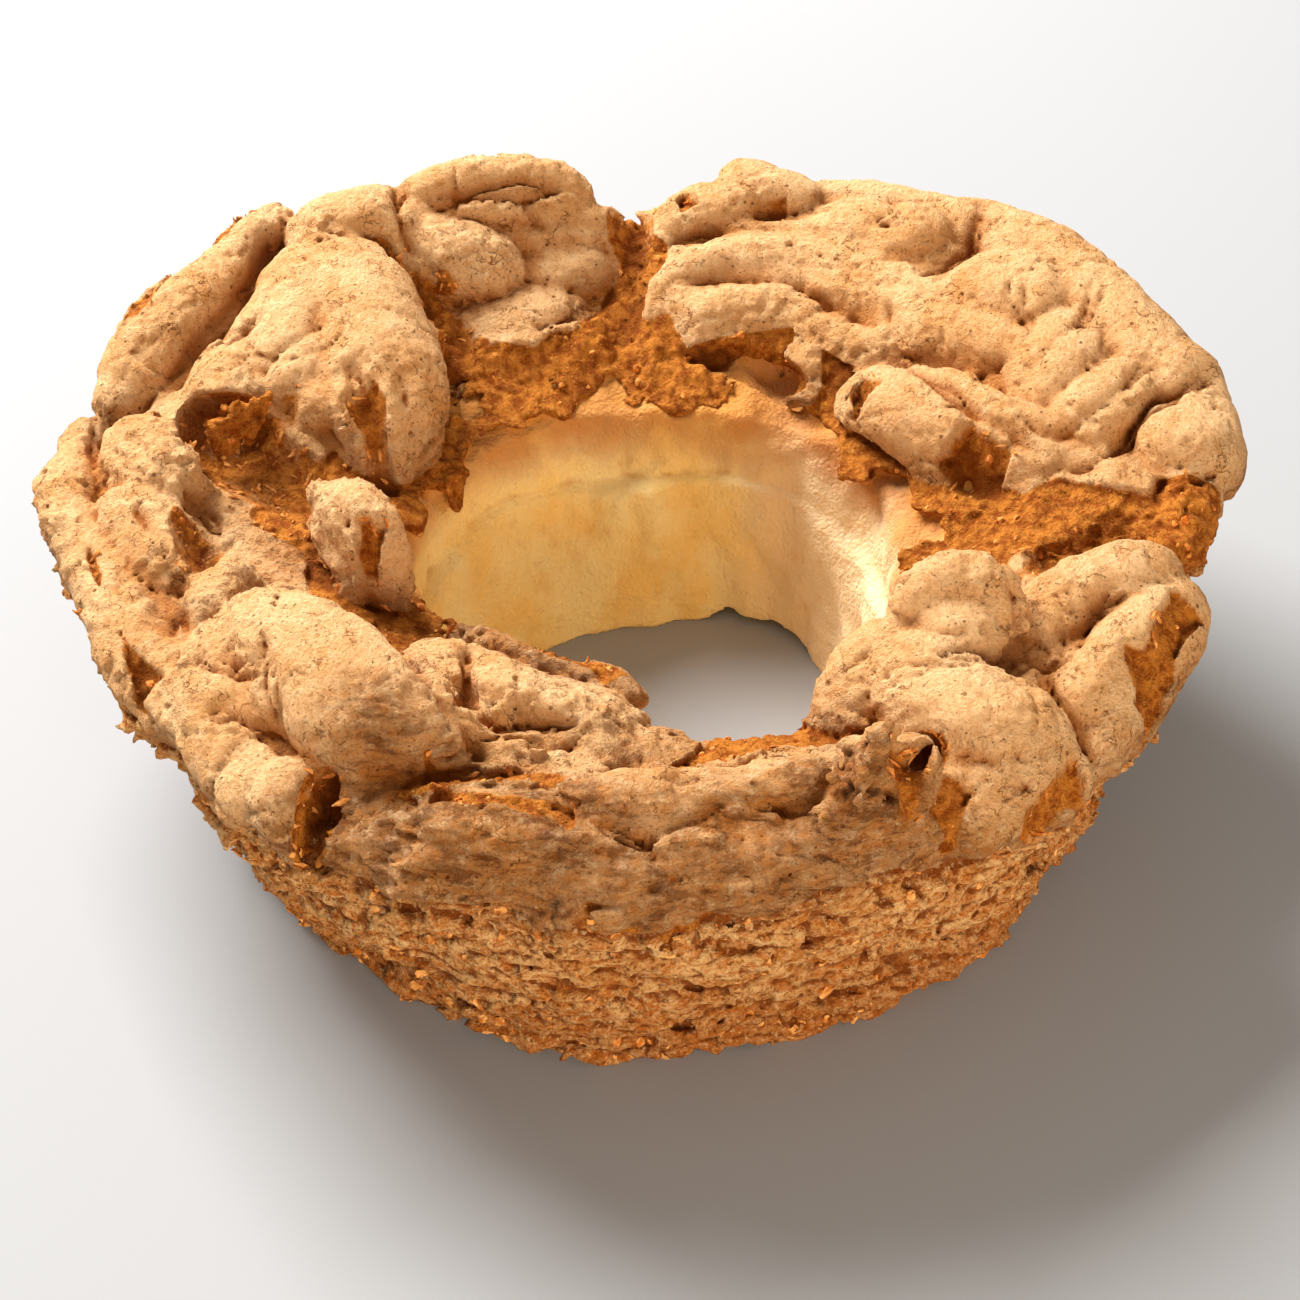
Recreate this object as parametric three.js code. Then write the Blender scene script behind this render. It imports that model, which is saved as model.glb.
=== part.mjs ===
// Angel cake, whole and uncut: a tall airy ring with one hole through its middle.
// Millimetres, +Z up. The origin is on the flat base, under the middle of the bounding box.
// The ring is one closed solid. Its top crust rose, cracked and fell in folds as it cooled: each
// fold is a roll that lies along the crust, and each sunk or torn place is a roll taken out of it.

import * as THREE from 'three';
import { mergeVertices } from 'three/addons/utils/BufferGeometryUtils.js';

// Driving dimensions. A bearing is in degrees anticlockwise from +X, seen from above.
const HOLE_AXIS = { x: 4.2, y: -5.5 }; // the hole's axis, from the origin
const FOOT_RADIUS = 98; // the outer edge of the flat base
const HOLE_FOOT_RADIUS = 50; // the hole at the base
const RIM_HEIGHT = 68; // where the side wall meets the crust
const CREST_INSET = 18; // from the rim in to the crust's highest line
const LIP_HEIGHT = 60; // where the crust ends at the hole
const BLEND = 2; // how softly the folds run into each other

// The rim's and the lip's distance from the hole's axis, and the crest's height under the folds,
// every 45 degrees from bearing 0.
const RIM_RADII = [121, 131, 125, 138, 129, 119, 115, 116];
const LIP_RADII = [55, 60, 59, 60, 56, 46, 60, 58];
const CREST_HEIGHTS = [78, 87, 81, 85, 73, 77, 76, 76];

// How finely the solid is cut: bearings round the ring, and rows round its section.
const SIDES = 144;
const BASE_ROWS = 1;
const WALL_ROWS = 5;
const CRUST_ROWS = 23;
const HOLE_ROWS = 4;

// What sank before the crust folded. Each is a roll with rounded ends: its name, half its width, half
// its depth, and the places it passes through, as [bearing, distance from the hole's axis, height].
const BOWLS = [
  ['far bowl', 17, 15, [123, 96, 83], [110, 96, 81], [97, 97, 82]],
];

// The folds, in the same form.
const FOLDS = [
  // back left
  ['far ridge', 11, 11, [118, 125, 86], [110, 126, 87], [101, 123, 83]],
  ['far dome', 14, 13, [120, 115, 78], [113, 111, 75]],
  ['far roll', 8, 9, [109, 120, 80], [97, 115, 77]],
  ['valley bun', 11, 10, [106, 111, 70], [99, 108, 69]],
  ['valley fold', 14, 9, [104, 102, 63], [112, 97, 65], [119, 87, 61]],
  ['tongue root', 16, 13, [131, 131, 79], [121, 124, 82]],
  ['tongue', 17, 13, [131, 120, 80], [137, 103, 81], [142, 88, 79], [147, 76, 73], [151, 72, 62]],
  ['tongue flank', 17, 12, [135, 128, 78], [143, 115, 78], [149, 101, 76]],
  ['tongue knuckle', 11, 9, [146, 101, 75], [151, 92, 74]],
  ['groove lobe', 11, 10, [150, 123, 75], [156, 116, 73]],
  ['outer roll', 10, 10, [133, 147, 79], [142, 141, 80], [150, 139, 78], [159, 139, 72]],
  // left
  ['left dome', 13, 12, [166, 128, 71], [172, 114, 72]],
  ['left shoulder', 13, 12, [176, 124, 68], [188, 108, 66]],
  ['left pit edge', 9, 8, [197, 109, 67], [189, 99, 66]],
  ['left rim', 9, 11, [165, 141, 69], [175, 135, 66], [188, 127, 63], [206, 121, 60]],
  ['hole knob', 8, 9, [177, 75, 73], [187, 68, 76], [193, 65, 65]],
  ['hole ledge', 9, 8, [170, 100, 57], [179, 78, 60]],
  // front left
  ['great dome', 14, 13, [203, 97, 70], [213, 95, 78], [224, 95, 80], [233, 93, 74], [239, 90, 66]],
  ['dome tail', 10, 9, [238, 90, 66], [248, 87, 64], [258, 89, 64], [268, 94, 66]],
  ['dome flank', 11, 10, [204, 107, 72], [213, 112, 73], [221, 117, 68]],
  ['dome bump', 9, 8, [218, 116, 73], [225, 118, 69]],
  ['cave lobe', 7, 8, [226, 114, 75], [229, 118, 70], [233, 119, 63]],
  ['sunk plate', 14, 8, [219, 62, 64], [240, 66, 68], [260, 66, 66]],
  ['plate edge', 9, 7, [210, 50, 60], [238, 46, 62], [263, 52, 61]],
  ['plate slope', 12, 8, [245, 82, 67], [274, 72, 61]],
  // front
  ['torn ledge', 7, 6, [236, 99, 66], [245, 96, 66], [253, 93, 66]],
  ['lip point', 5.5, 5, [230, 119, 63], [236, 117, 68], [243, 112, 73]],
  ['front lip', 13, 12, [239, 114, 62], [245, 111, 66], [254, 108, 67], [264, 109, 65], [272, 111, 61]],
  ['inner roll', 9, 9, [256, 101, 69], [268, 97, 72], [280, 95, 73], [291, 96, 74]],
  ['outer front roll', 8, 8, [267, 106, 67], [276, 106, 70], [285, 106, 69], [293, 108, 68]],
  ['peak', 4.8, 9, [294, 101, 86], [291, 105, 76], [288, 107, 66]],
  ['peak flank', 6, 9, [298, 103, 80], [296, 108, 70]],
  // right
  ['dome limb', 13, 12, [303, 76, 61], [312, 71, 69], [319, 71, 73]],
  ['right dome', 15, 13, [319, 72, 74], [314, 83, 76], [314, 95, 73], [319, 107, 67]],
  ['curl floor', 10, 8, [322, 74, 82], [325, 82, 81]],
  ['curl', 6, 7, [321, 67, 83], [327, 69, 87], [331, 77, 87], [329, 86, 84], [323, 93, 81]],
  ['dome foot', 10, 9, [305, 106, 64], [317, 113, 67]],
  ['wedge', 11, 10, [335, 88, 72], [340, 98, 77], [346, 109, 77]],
  ['wedge back', 12, 11, [325, 106, 70], [334, 111, 72], [343, 114, 73]],
  ['right rim', 9, 11, [345, 109, 71], [334, 113, 67], [321, 113, 63]],
  ['lower right rim', 9, 9, [320, 112, 60], [301, 111, 61]],
  ['cleft rim', 9, 10, [355, 112, 64], [4, 120, 67]],
  // back right
  ['far rim', 11, 11,
    [72, 125, 79], [60, 128, 80], [45, 129, 80], [29, 128, 78], [15, 129, 75], [4, 121, 66]],
  ['first lobe', 14, 12, [10, 115, 71], [8, 127, 70]],
  ['second lobe', 11, 10, [13, 95, 72], [17, 113, 76], [20, 129, 76]],
  ['third lobe', 13, 11, [22, 93, 71], [26, 107, 76], [30, 122, 76]],
  ['broad lobe', 17, 12, [44, 105, 77], [38, 121, 79]],
  ['far lobe', 17, 12, [67, 113, 80], [54, 119, 82]],
  ['valley lobe', 12, 10, [88, 111, 76], [79, 117, 81]],
  ['far bun', 10, 9, [79, 121, 85], [72, 121, 84]],
  ['long roll', 9, 9, [88, 89, 63], [86, 90, 75], [77, 97, 80], [67, 98, 81], [56, 99, 81], [46, 97, 79]],
  ['roll bulge', 9, 9, [50, 87, 75], [40, 93, 77], [29, 101, 77]],
  ['arch', 7, 8, [85, 74, 61], [82, 80, 73], [76, 83, 76], [66, 87, 76], [56, 85, 75], [47, 84, 72]],
  ['twist', 6, 7, [64, 82, 73], [60, 73, 59]],
  ['broad roll', 12, 12, [45, 73, 67], [28, 77, 71], [10, 92, 67]],
  ['torn shelf', 12, 9, [14, 66, 57], [4, 88, 60]],
  ['torn slope', 8, 8, [53, 73, 57], [19, 65, 55]],
];

// What tore or sank after that.
const HOLLOWS = [
  ['left hollow', 11, 12, [160, 114, 74], [164, 101, 74], [167, 84, 73]],
  ['left pit', 4, 9, [181, 106, 77], [187, 104, 73]],
  ['front cave', 4.5, 7, [232, 110, 77], [235, 115, 72], [237, 119, 68]],
  ['peak cave', 6, 9, [301, 106, 82], [305, 102, 73], [306, 95, 68]],
  ['right cleft', 8, 13, [350, 84, 78], [354, 100, 82], [357, 118, 86]],
  ['far valley', 7, 14, [92, 130, 96], [95, 100, 88], [98, 72, 80]],
  ['arch cave', 6, 8, [80, 73, 68], [72, 75, 68], [63, 74, 66]],
  ['tongue groove', 5, 11, [126, 108, 82], [123, 92, 77], [127, 77, 72]],
];

// Thin flaps of crust that stand up beside the tears.
const FLAPS = [
  ['torn flap', 2.4, 8, [166, 117, 65], [161, 110, 73], [158, 107, 79]],
];

// The middle of the ring's section, as its distance from the axis and its height.
const SECTION_MIDDLE = new THREE.Vector2(86, 30);
const END_SIZE = 0.65; // a roll's size at its ends, against its middle
const ROLL_STEPS = 9;
const FARTHEST_REACH = 30; // no fold stands farther out of the ring than this
const SEARCH_STEP = 1;
const SEARCH_HALVINGS = 6;
const NEIGHBOURS = [[-1, 0.25], [0, 0.5], [1, 0.25]]; // steps along the grid and their weights

const CRUST = new THREE.MeshStandardMaterial({
  name: 'browned crust',
  color: new THREE.Color(0.83, 0.6, 0.38),
  roughness: 0.85,
  metalness: 0,
});

// A point from its bearing, its distance from the hole's axis and its height.
function place(bearing, radius, height) {
  const angle = THREE.MathUtils.degToRad(bearing);
  const x = HOLE_AXIS.x + radius * Math.cos(angle);
  const y = HOLE_AXIS.y + radius * Math.sin(angle);
  return new THREE.Vector3(x, y, height);
}

// A value between the given ones, which stand at equal bearings round the ring.
function around(values, bearing) {
  const count = values.length;
  const turns = (bearing / 360) * count + count;
  const before = Math.floor(turns);
  const at = (step) => values[(before + step) % count];
  const t = turns - before;
  const slope = (at(1) - at(count - 1)) / 2;
  const nextSlope = (at(2) - at(0)) / 2;
  const rise = at(1) - at(0);
  return at(0) + t * (slope + t * (3 * rise - 2 * slope - nextSlope + t * (slope + nextSlope - 2 * rise)));
}

// The ring's section at one bearing, without folds: base, outer wall, crust and hole wall. The wall
// leans out as a tube pan does, and the crust falls from its crest to the hole's lip.
function sectionAt(bearing) {
  const rim = around(RIM_RADII, bearing);
  const lip = around(LIP_RADII, bearing);
  const crestHeight = around(CREST_HEIGHTS, bearing);
  const crest = rim - CREST_INSET;
  const lean = rim - FOOT_RADIUS;
  const point = (radius, height) => new THREE.Vector2(radius, height);
  return {
    base: [point(HOLE_FOOT_RADIUS, 0), point(FOOT_RADIUS, 0)],
    wall: [
      point(FOOT_RADIUS, 0),
      point(FOOT_RADIUS + lean * 0.45, RIM_HEIGHT * 0.33),
      point(FOOT_RADIUS + lean * 0.8, RIM_HEIGHT * 0.67),
      point(rim, RIM_HEIGHT),
    ],
    crust: [
      point(rim, RIM_HEIGHT),
      point(rim - CREST_INSET * 0.3, crestHeight - 3),
      point(crest, crestHeight),
      point(lip + (crest - lip) * 0.6, crestHeight - 4),
      point(lip + (crest - lip) * 0.25, LIP_HEIGHT + 6),
      point(lip, LIP_HEIGHT),
    ],
    hole: [
      point(lip, LIP_HEIGHT),
      point(lip - 2, LIP_HEIGHT - 6),
      point(HOLE_FOOT_RADIUS + (lip - HOLE_FOOT_RADIUS) * 0.4, LIP_HEIGHT * 0.5),
      point(HOLE_FOOT_RADIUS, 0),
    ],
  };
}

// Signed distance from a point of the section's plane to its outline, negative inside.
function outlineDistance(corners, radius, height) {
  let nearest = Infinity;
  let inside = false;
  for (let index = 0; index < corners.length; index += 1) {
    const a = corners[index];
    const b = corners[(index + 1) % corners.length];
    const side = { x: b.x - a.x, y: b.y - a.y };
    const to = { x: radius - a.x, y: height - a.y };
    const length = side.x * side.x + side.y * side.y || 1;
    const along = THREE.MathUtils.clamp((to.x * side.x + to.y * side.y) / length, 0, 1);
    nearest = Math.min(nearest, Math.hypot(to.x - side.x * along, to.y - side.y * along));
    const crosses = a.y > height !== b.y > height;
    if (crosses && radius < a.x + ((height - a.y) * side.x) / side.y) inside = !inside;
  }
  return inside ? -nearest : nearest;
}

// The direction that the crust faces at a point, away from the middle of the ring's section.
function outward(point) {
  const bearing = Math.atan2(point.y - HOLE_AXIS.y, point.x - HOLE_AXIS.x);
  const middle = place(THREE.MathUtils.radToDeg(bearing), SECTION_MIDDLE.x, SECTION_MIDDLE.y);
  return point.clone().sub(middle).normalize();
}

// A roll along a curve, wide across the crust and thinner through it.
class Roll {
  constructor([, halfWidth, halfDepth, ...stops]) {
    const path = new THREE.CatmullRomCurve3(stops.map((stop) => place(...stop)));
    this.halfWidth = halfWidth;
    this.halfDepth = halfDepth;
    this.reach = new THREE.Box3();
    this.steps = path.getSpacedPoints(ROLL_STEPS).map((spot, index) => {
      const ahead = path.getTangentAt(index / ROLL_STEPS);
      const across = new THREE.Vector3().crossVectors(ahead, outward(spot)).normalize();
      const size = 1 - (1 - END_SIZE) * Math.pow((2 * index) / ROLL_STEPS - 1, 4);
      this.reach.expandByPoint(spot);
      return { spot, ahead, across, up: new THREE.Vector3().crossVectors(across, ahead), size };
    });
    this.reach.expandByScalar(Math.max(halfWidth, halfDepth) + 2 * BLEND);
  }

  // Signed distance from a point, near enough for shaping, and Infinity from far away.
  distance(point) {
    if (!this.reach.containsPoint(point)) return Infinity;
    const thin = Math.min(this.halfWidth, this.halfDepth);
    let best = Infinity;
    for (let index = 0; index < ROLL_STEPS; index += 1) {
      const start = this.steps[index];
      const end = this.steps[index + 1];
      const side = end.spot.clone().sub(start.spot);
      const to = point.clone().sub(start.spot);
      const along = THREE.MathUtils.clamp(to.dot(side) / side.lengthSq(), 0, 1);
      const offset = to.addScaledVector(side, -along);
      const size = THREE.MathUtils.lerp(start.size, end.size, along);
      const wide = offset.dot(start.across.clone().lerp(end.across, 0.5)) / this.halfWidth;
      const deep = offset.dot(start.up.clone().lerp(end.up, 0.5)) / this.halfDepth;
      const long = offset.dot(start.ahead.clone().lerp(end.ahead, 0.5)) / this.halfDepth;
      best = Math.min(best, (Math.hypot(wide, deep, long) / size - 1) * size * thin);
    }
    return best;
  }
}

const bowls = BOWLS.map((bowl) => new Roll(bowl));
const folds = FOLDS.map((fold) => new Roll(fold));
const hollows = HOLLOWS.map((hollow) => new Roll(hollow));
const flaps = FLAPS.map((flap) => new Roll(flap));

// The smaller of two distances, rounded off where they are alike.
function softMin(a, b) {
  if (b === Infinity) return a;
  const near = Math.max(BLEND - Math.abs(a - b), 0) / BLEND;
  return Math.min(a, b) - (near * near * near * BLEND) / 6;
}

// Signed distance to the whole cake at a point of the given section's outline.
function cakeDistance(outline, radius, point) {
  let distance = outlineDistance(outline, radius, point.z);
  for (const bowl of bowls) distance = -softMin(-distance, bowl.distance(point));
  for (const fold of folds) distance = softMin(distance, fold.distance(point));
  for (const hollow of hollows) distance = -softMin(-distance, hollow.distance(point));
  for (const flap of flaps) distance = softMin(distance, flap.distance(point));
  return distance;
}

// Even steps along a run of corners, without its last one.
function evenSteps(corners, count) {
  const lengths = corners.map((corner, index) => (index ? corner.distanceTo(corners[index - 1]) : 0));
  const total = lengths.reduce((sum, length) => sum + length, 0);
  return Array.from({ length: count }, (_, step) => {
    let left = (total * step) / count;
    let index = 1;
    while (left > lengths[index]) left -= lengths[index++];
    return corners[index - 1].clone().lerp(corners[index], left / lengths[index]);
  });
}

// How far past a corner of the section the cake reaches, on the line from the section's middle.
function reachPast(outline, bearing, corner) {
  const length = corner.distanceTo(SECTION_MIDDLE);
  const at = (reach) => {
    const { x, y } = SECTION_MIDDLE.clone().lerp(corner, 1 + reach / length);
    return cakeDistance(outline, x, place(bearing, x, y));
  };
  let inside = FARTHEST_REACH;
  while (at(inside) > 0) inside -= SEARCH_STEP;
  let outside = inside + SEARCH_STEP;
  for (let halving = 0; halving < SEARCH_HALVINGS; halving += 1) {
    const middle = (inside + outside) / 2;
    if (at(middle) > 0) outside = middle;
    else inside = middle;
  }
  return inside;
}

// The corners round the section at one bearing, each with its reach. The base stays flat.
function rowsAt(bearing) {
  const { base, wall, crust, hole } = sectionAt(bearing);
  const outline = [base, wall, crust, hole].flatMap((run) => run.slice(0, -1));
  const corners = [
    ...evenSteps(base, BASE_ROWS),
    ...evenSteps(wall, WALL_ROWS),
    ...evenSteps(crust, CRUST_ROWS),
    ...evenSteps(hole, HOLE_ROWS),
  ];
  return corners.map((corner) => {
    const reach = corner.y === 0 ? 0 : reachPast(outline, bearing, corner);
    return { bearing, corner, reach };
  });
}

// A reach evened out with its eight neighbours', so that a steep fold has no teeth.
function evenReach(sections, side, row) {
  let sum = 0;
  for (const [sideStep, sideWeight] of NEIGHBOURS) {
    const section = sections[(side + sideStep + SIDES) % SIDES];
    for (const [rowStep, rowWeight] of NEIGHBOURS) {
      sum += section[(row + rowStep + section.length) % section.length].reach * sideWeight * rowWeight;
    }
  }
  return sum;
}

function angelCake() {
  const sections = Array.from({ length: SIDES }, (_, side) => rowsAt((360 * side) / SIDES));
  const rowCount = sections[0].length;
  const loop = sections[0].map(({ corner }) => corner);
  const geometry = new THREE.LatheGeometry([...loop, loop[0]], SIDES);
  for (let side = 0; side <= SIDES; side += 1) {
    for (let row = 0; row <= rowCount; row += 1) {
      const { bearing, corner } = sections[side % SIDES][row % rowCount];
      const reach = corner.y === 0 ? 0 : evenReach(sections, side % SIDES, row % rowCount);
      const { x, y } = SECTION_MIDDLE.clone().lerp(corner, 1 + reach / corner.distanceTo(SECTION_MIDDLE));
      const spot = place(bearing, x, y);
      geometry.attributes.position.setXYZ(side * (rowCount + 1) + row, spot.x, spot.y, spot.z);
    }
  }
  geometry.deleteAttribute('normal');
  geometry.deleteAttribute('uv');
  const mesh = new THREE.Mesh(mergeVertices(geometry, 1e-3), CRUST);
  mesh.geometry.computeVertexNormals();
  mesh.name = 'angel_cake';
  return mesh;
}

const cake = new THREE.Group();
cake.add(angelCake());

export default cake;
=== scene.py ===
"""Angel cake, whole: a tall ring of pale, airy crumb under a thick crust that folded and cracked."""

import itertools
import math

import bpy
import numpy as np
import openvdb
from mathutils import Matrix, Vector


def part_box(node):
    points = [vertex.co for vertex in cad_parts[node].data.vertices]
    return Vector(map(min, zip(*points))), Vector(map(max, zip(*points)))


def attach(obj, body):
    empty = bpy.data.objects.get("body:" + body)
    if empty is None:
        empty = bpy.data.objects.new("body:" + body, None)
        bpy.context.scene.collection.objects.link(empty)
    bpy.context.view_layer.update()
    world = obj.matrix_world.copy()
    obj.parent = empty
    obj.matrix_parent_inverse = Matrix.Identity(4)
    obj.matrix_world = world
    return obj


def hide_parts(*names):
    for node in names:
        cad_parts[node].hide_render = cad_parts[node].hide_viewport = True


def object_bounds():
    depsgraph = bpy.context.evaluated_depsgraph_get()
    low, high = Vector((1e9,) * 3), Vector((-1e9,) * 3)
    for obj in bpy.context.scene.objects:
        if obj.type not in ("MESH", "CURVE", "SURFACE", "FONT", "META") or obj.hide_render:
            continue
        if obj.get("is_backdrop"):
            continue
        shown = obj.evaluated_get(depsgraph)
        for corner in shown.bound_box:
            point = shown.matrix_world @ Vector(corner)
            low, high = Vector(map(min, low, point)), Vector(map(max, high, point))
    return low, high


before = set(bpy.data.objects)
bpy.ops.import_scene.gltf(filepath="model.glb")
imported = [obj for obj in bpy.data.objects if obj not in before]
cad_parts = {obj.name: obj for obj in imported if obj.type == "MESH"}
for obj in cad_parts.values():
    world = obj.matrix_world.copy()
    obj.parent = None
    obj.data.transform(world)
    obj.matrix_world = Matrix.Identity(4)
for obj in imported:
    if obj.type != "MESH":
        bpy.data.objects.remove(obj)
cad_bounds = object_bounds()

# ---------------------------------------------------------------- the ring
# The cake rose in a round pan with a tube in its middle. Its wall leans out and its top crust swelled
# over the rim. The form is worked out as distances from the surface, negative inside, on a grid round
# the hole's axis, in millimetres. The folds, creases and tears go into it before it becomes meshes.
MM = 0.001
cake_low, cake_high = (Vector(corner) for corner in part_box("angel_cake"))
HOLE_AXIS = Vector(((cake_low.x + cake_high.x) / 2, (cake_low.y + cake_high.y) / 2, cake_low.z))
HOLE_AXIS += Vector((4.2, -5.5, 0)) * MM

CELL = 0.85  # the grid's step
GRID_LOW = np.array([-148.0, -134.0, -5.0])
GRID_HIGH = np.array([148.0, 142.0, 108.0])
CELLS = [int(math.ceil(span / CELL)) + 1 for span in GRID_HIGH - GRID_LOW]
X, Y, Z = (GRID_LOW[axis] + CELL * np.arange(CELLS[axis], dtype=np.float32) for axis in range(3))
X, Y, Z = X[:, None, None], Y[None, :, None], Z[None, None, :]
RADIUS = np.hypot(X, Y)
BEARING = np.degrees(np.arctan2(Y, X)) % 360

FOOT_RADIUS = 98.0
HOLE_FOOT_RADIUS = 50.0
RIM_HEIGHT = 68.0
CREST_INSET = 18.0  # from the rim to the top's highest line
LIP_HEIGHT = 60.0  # of the hole's upper edge

# every 45 degrees from +X, anticlockwise
RIM_RADII = [121, 131, 125, 138, 129, 119, 115, 116]
LIP_RADII = [55, 60, 59, 60, 56, 46, 60, 58]
CREST_HEIGHTS = [78, 87, 81, 85, 73, 77, 76, 76]


def smooth(values, low, high):
    """0 below low, 1 above high, and a smooth step between."""
    t = np.clip((values - low) / (high - low), 0, 1)
    return t * t * (3 - 2 * t)


def around(values, bearing):
    """A value between the given ones, which stand at equal bearings round the ring."""
    values = np.asarray(values, dtype=np.float32)
    count = len(values)
    turns = np.asarray(bearing, dtype=np.float32) / 360 * count
    before = np.floor(turns).astype(int)
    t = turns - before
    last, here, ahead, beyond = (values[(before + step) % count] for step in (-1, 0, 1, 2))
    bend = last - 2.5 * here + 2 * ahead - beyond / 2 + t * (1.5 * (here - ahead) + (beyond - last) / 2)
    return here + t * ((ahead - last) / 2 + t * bend)


def lumps(seed, *spacing):
    """Smooth noise over the grid, mostly within -2 and 2: a cubic spline on random values that stand
    at the given spacings in mm."""
    steps = np.broadcast_to(np.array(spacing, dtype=float), 3)
    span = [CELL * (count - 1) for count in CELLS]
    counts = [int(span[axis] / steps[axis]) + 5 for axis in range(3)]
    field = np.random.default_rng(seed).uniform(-5, 5, counts).astype(np.float32)
    for axis in range(3):
        at = CELL * np.arange(CELLS[axis]) / steps[axis] + 0.5
        first = at.astype(int)
        t = at - first
        curve = (1 - t) ** 3, 3 * t**3 - 6 * t**2 + 4, -3 * t**3 + 3 * t**2 + 3 * t + 1, t**3
        weights = np.zeros((CELLS[axis], field.shape[axis]), dtype=np.float32)
        for k, weight in enumerate(curve):
            weights[np.arange(CELLS[axis]), first + k] = weight / 6
        field = np.moveaxis(np.tensordot(weights, field, axes=(1, axis)), 0, axis)
    return field


def ring_section(bearing):
    """The plain ring's outline at each bearing, as corners of (distance from the axis, height)."""
    rim, lip, top = (around(values, bearing) for values in (RIM_RADII, LIP_RADII, CREST_HEIGHTS))
    crest = rim - CREST_INSET
    lean = rim - FOOT_RADIUS
    return [
        (HOLE_FOOT_RADIUS, 0),
        (FOOT_RADIUS, 0),
        (FOOT_RADIUS + lean * 0.45, RIM_HEIGHT * 0.33),
        (FOOT_RADIUS + lean * 0.8, RIM_HEIGHT * 0.67),
        (rim, RIM_HEIGHT),
        (rim - CREST_INSET * 0.3, top - 3),
        (crest, top),
        (lip + (crest - lip) * 0.6, top - 4),
        (lip + (crest - lip) * 0.25, LIP_HEIGHT + 6),
        (lip, LIP_HEIGHT),
        (lip - 2, LIP_HEIGHT - 6),
        (HOLE_FOOT_RADIUS + (lip - HOLE_FOOT_RADIUS) * 0.4, LIP_HEIGHT * 0.5),
    ]


def ring_distance(radius, bearing, height):
    """Distance to the plain ring, negative inside."""
    corners = ring_section(bearing)
    nearest, inside = None, False
    for (r0, z0), (r1, z1) in zip(corners, corners[1:] + corners[:1]):
        run, climb = r1 - r0, z1 - z0
        along = np.clip(((radius - r0) * run + (height - z0) * climb) / (run**2 + climb**2), 0, 1)
        gap = (radius - r0 - along * run) ** 2 + (height - z0 - along * climb) ** 2
        nearest = gap if nearest is None else np.minimum(nearest, gap)
        if np.any(climb != 0):
            crosses = (z0 > height) != (z1 > height)
            slant = np.where(climb == 0, 1, climb)
            inside = inside ^ (crosses & (radius < r0 + (height - z0) * run / slant))
    return np.where(inside, -1, 1) * np.sqrt(nearest)


form = ring_distance(RADIUS, BEARING, Z).astype(np.float32)
form += 1.0 * lumps(4, 30.0) + 0.5 * lumps(5, 14.0)

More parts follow.
